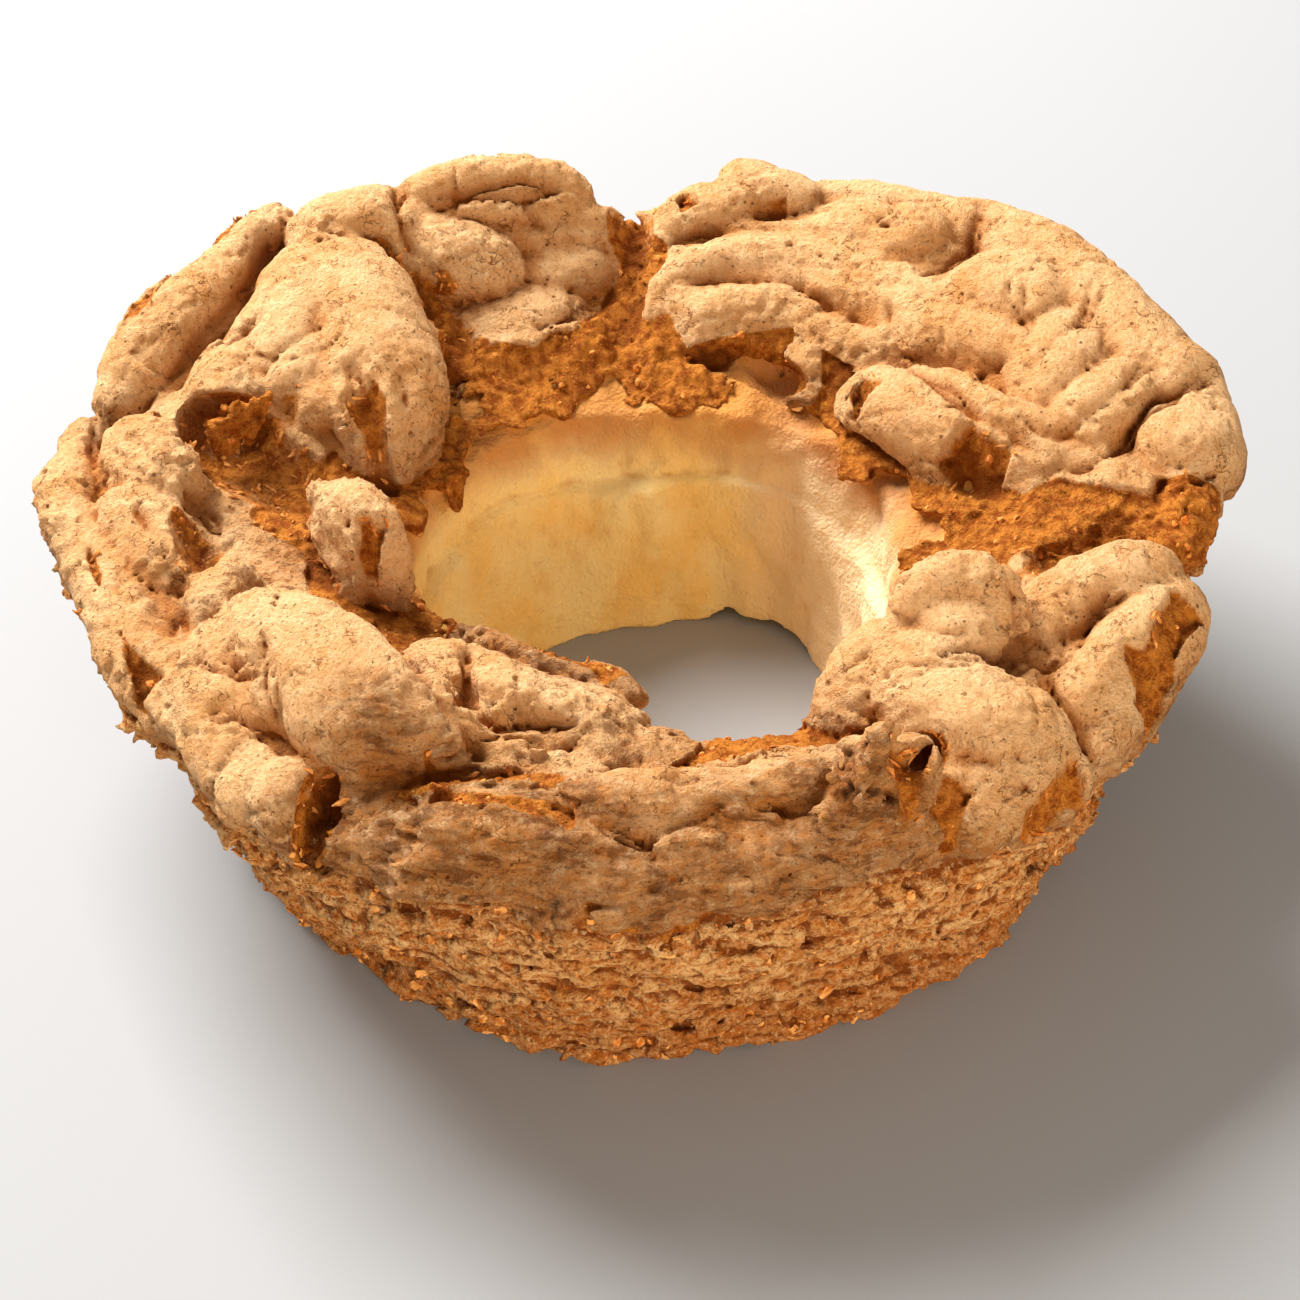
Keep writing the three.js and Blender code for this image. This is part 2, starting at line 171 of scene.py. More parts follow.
# ---------------------------------------------------------------- the folds
# The crust rose faster than the crumb, burst, and its pieces rolled and slid over one another. Each fold
# is a roll: half its width, half its depth, and the places it passes through, as (bearing, distance
# from the hole's axis, height). Hollows are rolls taken away, and flaps are thin sheets standing up.
BOWLS = {
    "far bowl": (17, 15, (123, 96, 83), (110, 96, 81), (97, 97, 82)),
}
FOLDS = {
    # back left
    "far ridge": (11, 11, (118, 125, 86), (110, 126, 87), (101, 123, 83)),
    "far dome": (14, 13, (120, 115, 78), (113, 111, 75)),
    "far roll": (8, 9, (109, 120, 80), (97, 115, 77)),
    "valley bun": (11, 10, (106, 111, 70), (99, 108, 69)),
    "valley fold": (14, 9, (104, 102, 63), (112, 97, 65), (119, 87, 61)),
    "tongue root": (16, 13, (131, 131, 79), (121, 124, 82)),
    "tongue": (17, 13, (131, 120, 80), (137, 103, 81), (142, 88, 79), (147, 76, 73), (151, 72, 62)),
    "tongue flank": (17, 12, (135, 128, 78), (143, 115, 78), (149, 101, 76)),
    "tongue knuckle": (11, 9, (146, 101, 75), (151, 92, 74)),
    "groove lobe": (11, 10, (150, 123, 75), (156, 116, 73)),
    "outer roll": (10, 10, (133, 147, 79), (142, 141, 80), (150, 139, 78), (159, 139, 72)),
    # left
    "left dome": (13, 12, (166, 128, 71), (172, 114, 72)),
    "left shoulder": (13, 12, (176, 124, 68), (188, 108, 66)),
    "left pit edge": (9, 8, (197, 109, 67), (189, 99, 66)),
    "left rim": (9, 11, (165, 141, 69), (175, 135, 66), (188, 127, 63), (206, 121, 60)),
    "hole knob": (8, 9, (177, 75, 73), (187, 68, 76), (193, 65, 65)),
    "knob cap": (4, 4, (176, 79, 77), (182, 72, 80)),
    "knob side": (4, 5, (180, 79, 70), (188, 74, 69), (194, 72, 65)),
    "hole ledge": (9, 8, (170, 100, 57), (179, 78, 60)),
    # front left
    "great dome": (14, 13, (203, 97, 70), (213, 95, 78), (224, 95, 80), (233, 93, 74), (239, 90, 66)),
    "dome tail": (10, 9, (238, 90, 66), (248, 87, 64), (258, 89, 64), (268, 94, 66)),
    "dome flank": (11, 10, (204, 107, 72), (213, 112, 73), (221, 117, 68)),
    "dome bump": (9, 8, (218, 116, 73), (225, 118, 69)),
    "cave lobe": (7, 8, (226, 114, 75), (229, 118, 70), (233, 119, 63)),
    "sunk plate": (14, 8, (219, 62, 64), (240, 66, 68), (260, 66, 66)),
    "plate edge": (8, 5, (210, 50, 61), (236, 47, 63), (258, 52, 62)),
    "plate slope": (12, 8, (245, 82, 67), (274, 72, 61)),
    # front
    "torn ledge": (6, 6, (237, 103, 69), (242, 102, 71), (249, 98, 70), (256, 94, 68)),
    "lip point": (5.5, 5, (230, 119, 63), (236, 117, 68), (243, 112, 73)),
    "front lip": (13, 12, (239, 114, 62), (245, 111, 66), (254, 108, 67), (264, 109, 65), (272, 111, 61)),
    "inner roll": (9, 9, (256, 101, 69), (268, 97, 72), (280, 95, 73), (291, 96, 74)),
    "outer front roll": (8, 8, (267, 106, 67), (276, 106, 70), (285, 106, 69), (293, 108, 68)),
    "peak": (4.8, 9, (294, 101, 86), (291, 105, 76), (288, 107, 66)),
    "peak flank": (6, 9, (298, 103, 80), (296, 108, 70)),
    # right
    "dome limb": (13, 12, (303, 76, 61), (312, 71, 69), (319, 71, 73)),
    "right dome": (15, 13, (319, 72, 74), (314, 83, 76), (314, 95, 73), (319, 107, 67)),
    "curl floor": (10, 8, (322, 74, 82), (325, 82, 81)),
    "curl": (6, 7, (319, 68, 82), (326, 69, 86), (331, 77, 86), (330, 85, 82)),
    "dome foot": (10, 9, (305, 106, 64), (317, 113, 67)),
    "wedge": (11, 10, (335, 88, 72), (340, 98, 77), (346, 109, 77)),
    "wedge back": (12, 11, (325, 106, 70), (334, 111, 72), (343, 114, 73)),
    "right rim": (9, 11, (345, 109, 71), (334, 113, 67), (321, 113, 63)),
    "lower right rim": (9, 9, (320, 112, 60), (301, 111, 61)),
    "cleft rim": (9, 10, (355, 112, 64), (4, 120, 67)),
    # back right
    "far rim": (11, 11, (72, 125, 79), (60, 128, 80), (45, 129, 80), (29, 128, 78), (15, 129, 75),
                (4, 121, 66)),
    "first lobe": (14, 12, (10, 115, 71), (8, 127, 70)),
    "second lobe": (11, 10, (13, 95, 72), (17, 113, 76), (20, 129, 76)),
    "third lobe": (13, 11, (22, 93, 71), (26, 107, 76), (30, 122, 76)),
    "broad lobe": (17, 12, (44, 105, 77), (38, 121, 79)),
    "far lobe": (17, 12, (67, 113, 80), (54, 119, 82)),
    "valley lobe": (12, 10, (88, 111, 76), (79, 117, 81)),
    "far bun": (10, 9, (79, 121, 85), (72, 121, 84)),
    "long roll": (9, 9, (88, 89, 63), (86, 90, 75), (77, 97, 80), (67, 98, 81), (56, 99, 81),
                  (46, 97, 79)),
    "roll bulge": (9, 9, (50, 87, 75), (40, 93, 77), (29, 101, 77)),
    "arch": (7, 8, (85, 74, 61), (82, 80, 73), (76, 83, 76), (66, 87, 76), (56, 85, 75), (47, 84, 72)),
    "twist": (6, 7, (64, 82, 73), (60, 73, 59)),
    "broad roll": (12, 12, (45, 73, 67), (28, 77, 71), (10, 92, 67)),
    "torn shelf": (12, 9, (14, 66, 57), (4, 88, 60)),
    "torn slope": (8, 8, (53, 73, 57), (19, 65, 55)),
}
HOLLOWS = {
    "left hollow": (11, 12, (160, 114, 74), (164, 101, 74), (167, 84, 73)),
    "left pit": (4, 9, (181, 106, 77), (187, 104, 73)),
    "front cave": (3.4, 6, (230, 112, 75), (232, 117, 70), (233, 121, 64)),
    "peak cave": (3.2, 5, (300, 104, 80), (303, 99, 74), (305, 95, 69)),
    "right cleft": (8, 13, (350, 84, 78), (354, 100, 82), (357, 118, 86)),
    "far valley": (7, 14, (92, 130, 96), (95, 100, 88), (98, 72, 80)),
    "arch cave": (4, 6, (80, 70, 69), (72, 71, 69), (64, 71, 67)),
    "tongue groove": (5, 11, (126, 108, 82), (123, 92, 77), (127, 77, 72)),
}
FLAPS = {
    "torn flap": (2.4, 8, (166, 117, 65), (161, 110, 73), (158, 107, 79)),
}
BARE_FOLDS = "torn shelf", "torn slope", "torn ledge", "hole ledge", "cleft rim"  # torn, without crust
SECTION_MIDDLE = 86.0, 30.0  # of the ring: distance from the axis, height
ROLL_STEPS = 9
END_SIZE = 0.65  # a roll's size at its ends, against its middle
BOWL_BLEND = 3.0  # mm over which a bowl and the form round into each other
FOLD_BLEND = 1.5
HOLLOW_BLEND = 2.0
MARGIN = 4  # mm of the grid that is worked on beyond a roll's or a line's reach

wander = [2.0 * lumps(seed, 26.0) + 0.3 * lumps(seed + 10, 9.0) for seed in (1, 2, 3)]
BENT = [axis + shift for axis, shift in zip((X, Y, Z), wander)]


def unit(vectors):
    return vectors / np.linalg.norm(vectors, axis=-1, keepdims=True)


def spine_through(stops, steps):
    """Evenly spaced points on a smooth curve through places given as (bearing, distance, height)."""
    turn = [math.radians(bearing) for bearing, _, _ in stops]
    stops = [np.array([r * math.cos(a), r * math.sin(a), z]) for a, (_, r, z) in zip(turn, stops)]
    stops = [2 * stops[0] - stops[1], *stops, 2 * stops[-1] - stops[-2]]
    points = []
    for a, b, c, d in zip(stops, stops[1:], stops[2:], stops[3:]):
        for t in np.arange(0, 1, 0.05):
            bend = a - 2.5 * b + 2 * c - d / 2 + t * (1.5 * (b - c) + (d - a) / 2)
            points.append(b + t * ((c - a) / 2 + t * bend))
    points = np.array(points + [stops[-2]])
    run = np.concatenate([[0], np.cumsum(np.linalg.norm(np.diff(points, axis=0), axis=1))])
    even = np.linspace(0, run[-1], steps + 1)
    return np.stack([np.interp(even, run, points[:, axis]) for axis in range(3)], axis=1)


def part_near(points, reach):
    """The part of the grid within reach of the points."""
    low = np.maximum(np.floor((points.min(0) - reach - GRID_LOW) / CELL).astype(int), 0)
    high = np.ceil((points.max(0) + reach - GRID_LOW) / CELL).astype(int)
    return tuple(slice(low[axis], high[axis]) for axis in range(3))


def cut_out(grid, part):
    """A grid axis or field within the part."""
    return grid[tuple(s if size > 1 else slice(None) for s, size in zip(part, grid.shape))]


def join_roll(half_width, half_depth, stops, blend, hollow=False):
    """Joins a roll to the form, or takes it out of it. Returns the part of the grid it may reach, and
    the distances from the roll's surface there."""
    spine = spine_through(stops, ROLL_STEPS)
    size = 1 - (1 - END_SIZE) * np.linspace(-1, 1, ROLL_STEPS + 1) ** 4
    ahead = unit(np.gradient(spine, axis=0))
    middle = unit(spine * [1, 1, 0]) * SECTION_MIDDLE[0] + [0, 0, SECTION_MIDDLE[1]]
    across = unit(np.cross(ahead, spine - middle))
    up = np.cross(across, ahead)
    part = part_near(spine, max(half_width, half_depth) + 2 * blend + MARGIN)
    x, y, z = (cut_out(axis, part) for axis in BENT)
    nearest = None
    for step in range(ROLL_STEPS):
        start, side = spine[step], spine[step + 1] - spine[step]
        dx, dy, dz = x - start[0], y - start[1], z - start[2]
        along = np.clip((dx * side[0] + dy * side[1] + dz * side[2]) / (side @ side), 0, 1)
        dx, dy, dz = dx - along * side[0], dy - along * side[1], dz - along * side[2]
        girth = size[step] + along * (size[step + 1] - size[step])
        total = 0
        axes = (across, half_width), (up, half_depth), (ahead, half_depth)
        for vectors, half in axes:
            axis = unit(vectors[step] + vectors[step + 1])
            total = total + ((dx * axis[0] + dy * axis[1] + dz * axis[2]) / half) ** 2
        gap = (np.sqrt(total) / girth - 1) * girth * min(half_width, half_depth)
        nearest = gap if nearest is None else np.minimum(nearest, gap)
    nearest = nearest.astype(np.float32)
    sign = -1 if hollow else 1
    old = sign * form[part]
    near = np.maximum(blend - np.abs(old - nearest), 0) / blend
    form[part] = sign * (np.minimum(old, nearest) - near**3 * blend / 6)
    return part, nearest


def sector(bearing, half, edge):
    """1 within half the sector's width of the bearing, and 0 beyond."""
    return smooth(np.abs((BEARING - bearing + 180) % 360 - 180), half + edge, half)


for width, depth, *stops in BOWLS.values():
    join_roll(width, depth, stops, BOWL_BLEND, hollow=True)
torn = np.maximum(sector(94 + 2.5 * lumps(57, 9.0), 4, 3), sector(358 + 2.5 * lumps(59, 9.0), 5, 4))
torn = np.maximum(torn, smooth(RADIUS, 88, 76))
for name, (width, depth, *stops) in FOLDS.items():
    part, gap = join_roll(width, depth, stops, FOLD_BLEND)
    bare = 1.0 if name in BARE_FOLDS else 0.0
    torn[part] += (bare - torn[part]) * smooth(gap - form[part], 2.5, 0.0)
for width, depth, *stops in HOLLOWS.values():
    part, gap = join_roll(width, depth, stops, HOLLOW_BLEND, hollow=True)
    torn[part] = np.maximum(torn[part], smooth(np.abs(gap), 1.6, 0.0))
for width, depth, *stops in FLAPS.values():
    part, gap = join_roll(width, depth, stops, FOLD_BLEND)
    torn[part] += (1.0 - torn[part]) * smooth(gap - form[part], 2.5, 0.0)

# ---------------------------------------------------------------- creases and tears
# Creases run where one roll of crust meets the next: sharp valleys between rounded shoulders. In the
# tears the crust is gone and the crumb below it shows, lower and rough. Each has its width, its depth
# and the places it passes through on the top, as (bearing, distance from the hole's axis).
CREASES = {
    # back left
    "groove": (4, 9, (133, 140), (138, 133), (144, 127), (150, 126), (158, 126)),
    "knuckle crease": (2, 2, (157, 102), (153, 104), (146, 99), (141, 105)),
    "groove lobe crease": (3, 4, (156, 124), (151, 119), (147, 113)),
    "far dome crease": (3, 6, (120, 129), (123, 117), (121, 105)),
    "root crease": (2.5, 3, (133, 131), (129, 119), (124, 116)),
    "ridge crease": (3, 5, (120, 122), (107, 115), (98, 115)),
    "far roll crease": (3, 4, (110, 114), (103, 109), (96, 109)),
    "tip streak": (2.5, 4, (149, 86), (154, 77), (157, 71)),
    "tip seam": (2, 3, (144, 78), (150, 68), (153, 65)),
    # left
    "left dome crack": (3, 5, (170, 135), (171, 125), (169, 115), (166, 108)),
    "left lobe crease": (3, 5, (162, 141), (169, 136), (175, 131), (179, 134)),
    "left fold crease": (3, 4.5, (177, 124), (185, 115), (196, 108)),
    "left shoulder crease": (3, 4, (175, 117), (177, 105), (182, 100)),
    "knob crease": (2, 3, (186, 74), (194, 70), (199, 69)),
    "left rim crease": (3, 5, (187, 118), (194, 113), (200, 112)),
    # front left
    "dome crease": (2, 3, (206, 96), (212, 100), (217, 104), (222, 109), (226, 113)),
    "flank crease": (2.2, 3, (206, 116), (213, 108), (219, 104)),
    "flank low crease": (2.2, 3, (214, 121), (218, 114), (223, 109)),
    "bump crease": (2, 2.5, (221, 113), (221, 120), (221, 127)),
    "dome right edge": (3, 6, (218, 76), (228, 81), (237, 87), (246, 89)),
    "plate notch": (2.2, 5, (237, 87), (238, 79), (233, 70), (227, 62)),
    "plate crease": (2.5, 3, (243, 75), (249, 75), (254, 73), (258, 70)),
    "plate ripple": (2.5, 3, (246, 88), (250, 82), (258, 76)),
    "under dome": (2.5, 4, (233, 106), (240, 101), (246, 95)),
    # front
    "roll crease": (2, 4, (258, 101), (266, 106), (272, 103), (279, 99), (288, 106)),
    "lower roll crease": (2, 3, (266, 106), (271, 110), (278, 113), (289, 114)),
    "peak crease": (2.5, 4, (292, 99), (289, 108), (288, 115)),
    "peak fold": (2.5, 3, (293, 104), (290, 112), (290, 117)),
    "peak foot": (2.5, 5, (288, 115), (295, 115), (302, 114)),
    # right
    "curl crease": (2, 3.5, (311, 82), (318, 88), (324, 91), (328, 90)),
    "dome crest crease": (2, 2.5, (303, 77), (308, 82), (313, 87), (322, 92), (329, 98)),
    "dome side crease": (2.2, 4, (327, 96), (323, 104), (321, 112), (320, 120)),
    "dome foot crease": (2.5, 4, (304, 112), (310, 114), (318, 118)),
    "wedge crease": (2.5, 3, (328, 104), (335, 103), (339, 108)),
    "wedge foot crease": (2.2, 4, (332, 84), (327, 94), (328, 106)),
    # back right
    "roll top crease": (3.5, 5, (91, 100), (81, 106), (71, 107), (58, 105)),
    "roll under crease": (3.5, 8, (88, 87), (77, 90), (66, 90), (50, 86)),
    "far lobe crease": (3, 5, (51, 131), (48, 116), (50, 100)),
    "bulge crease": (3, 4.5, (52, 91), (46, 85), (38, 86), (27, 95)),
    "third lobe crease": (2.2, 3, (20, 87), (24, 97), (28, 116), (32, 127)),
    "second lobe crease": (2.5, 4, (21, 87), (13, 93), (14, 107), (20, 126)),
    "first lobe crease": (2.5, 4.5, (7, 92), (8, 104), (13, 118), (17, 140)),
    "first lobe crack": (2.5, 4, (1, 117), (4, 125), (7, 133)),
    "broad roll crease": (3.5, 5, (49, 83), (35, 78), (22, 80), (9, 92)),
    "slope crease": (2.5, 3, (41, 85), (30, 90), (20, 88)),
    "bun crease": (3, 4, (84, 128), (77, 114), (68, 112)),
    "broad lobe crease": (2.5, 3, (46, 112), (38, 111), (33, 106)),
    "far lobe wrinkle": (2, 2.5, (62, 124), (58, 113), (62, 108)),
}
TEARS = {
    "torn strip": (2.4, 2, (240, 101), (245, 98), (251, 94)),
    "lip top tear": (2, 2, (243, 106), (251, 105), (260, 103)),
    "peak tear": (2.5, 2, (299, 103), (297, 110), (296, 115)),
    "cave floor": (3, 1.5, (300, 112), (305, 107)),
    "rim tear": (2.8, 1.5, (341, 121), (334, 120), (327, 121)),
    "rim pits": (2.5, 2.5, (332, 116), (329, 119)),
    "low rim tear": (2, 2, (317, 120), (309, 118)),
    "broad roll edge": (3, 3, (46, 68), (40, 66)),
    "broad roll end": (3, 3, (20, 74), (15, 76), (11, 82)),
    "outer roll edge": (1.2, 1.5, (131, 153), (142, 148), (153, 145)),
    "left rim tear": (1.2, 1.5, (184, 130), (196, 125), (206, 122)),
    "left dome tear": (1.5, 3, (164, 123), (165, 114), (171, 107)),
    "plate tear": (3, 1, (206, 48), (228, 43), (246, 45), (258, 49)),
    "far bun pit": (2, 2.5, (87, 117), (85, 110)),
    "far lobe pit": (1.8, 2.5, (77, 112), (73, 113)),
    "knob top tear": (1.2, 1, (174, 77), (180, 74)),
    "knob foot tear": (2, 1.5, (193, 66), (198, 69)),
    "tip tear": (2.5, 2, (152, 80), (156, 74), (161, 70)),
}
TEAR_EDGE = 1.2  # how much lower the surface is where the crust is gone
wiggle = 0.8 * lumps(51, 8.0) + 0.4 * lumps(52, 3.5)


def stroke(stops, reach):
    """For a line of places on the form's top: the part of the grid within reach, the distances from
    the line there, in plan, and how full the line is, fading at its ends."""
    spine = spine_through([(*stop, 0) for stop in stops], 3 * len(stops))
    column = np.round((spine[:, :2] - GRID_LOW[:2]) / CELL).astype(int)
    solid = form[column[:, 0], column[:, 1]] < 0
    spine[:, 2] = GRID_LOW[2] + CELL * (solid.shape[1] - 1 - np.argmax(solid[:, ::-1], axis=1))
    part = part_near(spine, reach + MARGIN)
    x, y, z = (cut_out(axis, part) for axis in (X, Y, Z))
    nearest, full = 1e6, 0
    for step, (start, end) in enumerate(zip(spine, spine[1:])):
        side = end - start
        along = ((x - start[0]) * side[0] + (y - start[1]) * side[1]) / (side[:2] @ side[:2])
        along = np.clip(along, 0, 1)
        flat = (x - start[0] - along * side[0]) ** 2 + (y - start[1] - along * side[1]) ** 2
        rise = np.maximum(np.abs(z - start[2] - along * side[2]) - 5, 0)
        gap = np.sqrt(flat + rise**2)
        run = 2 * (step + along) / (len(spine) - 1) - 1
        full = np.where(gap < nearest, 1 - run**4, full)
        nearest = np.minimum(gap, nearest)
    return part, np.abs(nearest + cut_out(wiggle, part)), full


valleys = np.zeros_like(form)
for width, depth, *stops in CREASES.values():
    part, gap, full = stroke(stops, 4 * width)
    valley = 0.4 * np.exp(-gap / width) + 0.6 * np.exp(-3.5 * gap / width)
    valleys[part] = np.maximum(valleys[part], depth * full * valley)
pits = np.zeros_like(form)
for width, depth, *stops in TEARS.values():
    part, gap, full = stroke(stops, width + 3)
    inside = smooth(gap, width + 1.5, width - 1) * smooth(full, 0, 0.3)
    pits[part] = np.maximum(pits[part], depth * inside)
    torn[part] = np.maximum(torn[part], smooth(gap, width + 2, width - 0.5) * smooth(full, 0, 0.2))
form += valleys + pits

# the crust ends at a ragged height, lower at the hole's side than at the rim's side
OUTER = smooth(RADIUS, 74, 82)
EDGE = 59 + OUTER * (3 + 2 * sector(268, 20, 15) - 4 * sector(318, 16, 10))
EDGE = EDGE + 1.3 * lumps(41, 9.0) + 1.0 * lumps(42, 4.0) + 0.8 * lumps(56, 2.4)
EDGE += (1 - OUTER) * (5 * sector(74, 22, 12) + 2.2 * lumps(50, 4.0, 4.0, 24.0))
torn = torn + 0.35 * OUTER * smooth(Z - EDGE, 9, 0)
torn = smooth(torn + 0.12 * lumps(44, 6.0) + 0.06 * lumps(45, 3.0), 0.4, 0.6)


def net(seed, *spacing):
    """0 along a net of lines, more between them."""
    return np.minimum(np.abs(lumps(seed, *spacing)), np.abs(lumps(seed + 100, *spacing)))


def crumpled(seed, *spacing):
    """Flat-topped pillows with sharp valleys between."""
    return np.minimum(net(seed, *spacing), 0.8) - 0.4


def along_ring(seed, length, *across):
    """Pillows drawn out the way the ring runs."""
    first = crumpled(seed, length, *across)
    return first + SIDEWAYS * (crumpled(seed + 5, across[0], length, across[1]) - first)


def lines(seed, spacing, width):
    return smooth(net(seed, spacing), width, 0)


SIDEWAYS = smooth(np.abs(X) / (RADIUS + 1), 0.5, 0.85)  # 1 where the ring runs along Y
LIP = OUTER * sector(266, 26, 12)
wrinkled = 0.3 + 0.8 * smooth(lumps(26, 18.0), -0.3, 1.1) + 0.8 * sector(186, 18, 12)
wrinkled = wrinkled + 0.5 * LIP  # the crust is smoother elsewhere
skin_relief = 0.3 * crumpled(21, 9.0) + 0.6 * along_ring(22, 7.0, 3.0, 3.0) + 0.9 * crumpled(24, 2.2)
cracks = 1.0 * lines(27, 13.0, 0.08) + 0.7 * lines(28, 7.0, 0.12)
ripples = along_ring(58, 18.0, 5.0, 3.6) + 0.7 * along_ring(68, 9.0, 3.0, 2.2)
skin_relief = 0.2 * lumps(20, 12.0) + wrinkled * skin_relief + 2.2 * LIP * ripples - cracks
rough = 0.7 * lumps(31, 7.0, 7.0, 14.0) + 0.7 * crumpled(32, 4.5, 4.5, 8.0) + 1.3 * crumpled(33, 2.2)
rough = rough - TEAR_EDGE
top_relief = skin_relief + torn * (rough - skin_relief)
coral = 1.2 * lumps(34, 15.0, 15.0, 5.0) + 2.4 * along_ring(35, 12.0, 5.0, 3.4)
coral += 2.2 * crumpled(36, 3.4, 3.4, 2.2) + 1.2 * crumpled(37, 2.0)
coral -= 2.2 * smooth(lumps(46, 5.0, 5.0, 3.0), 0.9, 1.6)  # deeper pits here and there
smears = 1.3 * lumps(48, 20.0, 20.0, 30.0) + 0.9 * lumps(38, 8.0, 8.0, 20.0)
smears += 0.5 * lumps(39, 4.0, 4.0, 7.0) + 0.2 * lumps(40, 2.4)
smears -= 2.4 * smooth(Z + 2.5 * lumps(43, 20.0), 40, 43)
wall_relief = smears + OUTER * (coral - smears)
wall = smooth(EDGE - Z, -1.5, 1.5)
skin = form - top_relief - wall * (wall_relief - top_relief)


def blurred(field, reach):
    """The field averaged over a box of the given half width, in mm."""
    half = max(1, round(reach / CELL))
    for axis in range(3):
        pad = [(half + 1, half) if k == axis else (0, 0) for k in range(3)]
        total = np.cumsum(np.pad(field, pad, mode="edge"), axis=axis, dtype=np.float64)
        count = field.shape[axis]
        ahead = np.take(total, np.arange(2 * half + 1, 2 * half + 1 + count), axis=axis)
        field = (ahead - np.take(total, np.arange(count), axis=axis)) / (2 * half + 1)
    return field.astype(np.float32)


filled = smooth(skin, CELL, -CELL)
# browner low on the crust, near its edge; on the front lip, which faces away from the window, the added
# darkening is painted shade
browning_and_front_shade = smooth(Z + 3 * lumps(55, 12.0), 74, 60)
browning_and_front_shade += sector(266, 30, 12) * smooth(RADIUS + 4 * lumps(49, 9.0), 88, 108)
MASKS = {
    "torn": torn,
    "browning_and_front_shade": np.clip(browning_and_front_shade, 0, 1),
    "valley": np.clip(valleys / 5 + 0.3 * cracks, 0, 1),
    "cavity": blurred(filled, 7.0),  # near 1 deep in a hollow, a half on a flat, less on a ridge
    "crease": blurred(filled, 2.0),
}

# ---------------------------------------------------------------- the crust
# Real: a baked skin over the whole top, torn into plates that meet along deep seams, its lower edges
# ragged. Here each plate is a mesh of its part of the form's surface, lying on the crumb.
PLATES = {  # first and last bearing
    "far left crust": (97, 160),
    "left crust": (160, 204),
    "front left crust": (204, 262),
    "front crust": (262, 306),
    "right crust": (306, 354),
    "near right crust": (354, 402),
    "far right crust": (402, 457),
}
MOST_TRIANGLES = 190_000  # in one mesh
SPECK = 100  # faces. Parts that the noise cut loose and that have fewer are left out


def without_specks(points, quads):
    """The points and quads without the connected parts that have too few faces."""
    part = np.arange(len(points))
    while True:
        corners = part[quads]
        lowest = corners.min(axis=1)
        if np.all(corners == lowest[:, None]):
            break
        np.minimum.at(part, corners.ravel(), np.repeat(lowest, 4))
        part = part[part]
    part = part[quads[:, 0]]
    quads = quads[np.bincount(part)[part] >= SPECK]
    used, quads = np.unique(quads, return_inverse=True)
    return points[used], quads.reshape(-1, 4)


def piece_from(field, name, **attributes):
    """A closed mesh of the field's zero surface, in the frame, with the grid's values as attributes."""
    grid = openvdb.FloatGrid(background=4.0)
    grid.copyFromArray(np.ascontiguousarray(field, dtype=np.float32))
    points, _, quads = grid.convertToPolygons(isovalue=0.0, adaptivity=0.0)
    points, quads = without_specks(points, quads)
    mesh = bpy.data.meshes.new(name)
    mesh.vertices.add(len(points))
    places = (points * CELL + GRID_LOW) * MM + np.array(HOLE_AXIS)
    mesh.vertices.foreach_set("co", places.astype(np.float32).ravel())
    mesh.loops.add(quads.size)
    mesh.loops.foreach_set("vertex_index", quads.astype(np.int32).ravel())
    mesh.polygons.add(len(quads))
    mesh.polygons.foreach_set("loop_start", np.arange(0, quads.size, 4, dtype=np.int32))
    mesh.update(calc_edges=True)
    mesh.shade_smooth()
    first = np.minimum(points.astype(int), np.array(CELLS) - 2)
    t = points - first
    for label, values in attributes.items():
        total = 0
        for corner in itertools.product((0, 1), repeat=3):
            weight = np.prod(np.where(corner, t, 1 - t), axis=1)
            total = total + weight * values[tuple((first + corner).T)]
        layer = mesh.attributes.new(label, "FLOAT", "POINT")
        layer.data.foreach_set("value", total.astype(np.float32))
    piece = bpy.data.objects.new(name, mesh)
    bpy.context.scene.collection.objects.link(piece)
    if len(quads) * 2 > MOST_TRIANGLES:
        thinner = piece.modifiers.new("fewer faces", "DECIMATE")
        thinner.ratio = MOST_TRIANGLES / (2 * len(quads))
        apply_modifier(piece, thinner)
    return piece


def apply_modifier(piece, modifier):
    depsgraph = bpy.context.evaluated_depsgraph_get()
    made = bpy.data.meshes.new_from_object(piece.evaluated_get(depsgraph), depsgraph=depsgraph)
    piece.modifiers.remove(modifier)
    piece.data = made


class Term:
    """A socket of a node tree. Sums written on it add Math nodes."""

    def __init__(self, tree, socket=None):
        self.tree, self.socket = tree, socket

    def node(self, kind, settings=None, inputs=None, output=0):
        made = self.tree.nodes.new(kind)
        for name, value in (settings or {}).items():
            setattr(made, name, value)
        for name, value in (inputs or {}).items():
            if isinstance(value, Term):
                self.tree.links.new(value.socket, made.inputs[name])
            else:
                made.inputs[name].default_value = value
        return Term(self.tree, made.outputs[output]) if made.outputs else None

    def math(self, operation, *values):
        return self.node("ShaderNodeMath", {"operation": operation}, dict(enumerate(values)))

    def __add__(self, other):
        return self.math("ADD", self, other)

    def __sub__(self, other):
        return self.math("SUBTRACT", self, other)

    def __rsub__(self, other):
        return self.math("SUBTRACT", other, self)

    def __mul__(self, other):
        return self.math("MULTIPLY", self, other)

    __radd__, __rmul__ = __add__, __mul__

    def step(self, low, high):
        """0 at low, 1 at high and a smooth step between."""
        return self.node("ShaderNodeMapRange", {"interpolation_type": "SMOOTHSTEP"},
                         {"Value": self, "From Min": low, "From Max": high})

    def mixed(self, first, second):
        """The first colour where this is 0, the second where it is 1."""
        return self.node("ShaderNodeMix", {"data_type": "RGBA"}, {0: self, 6: first, 7: second}, 2)


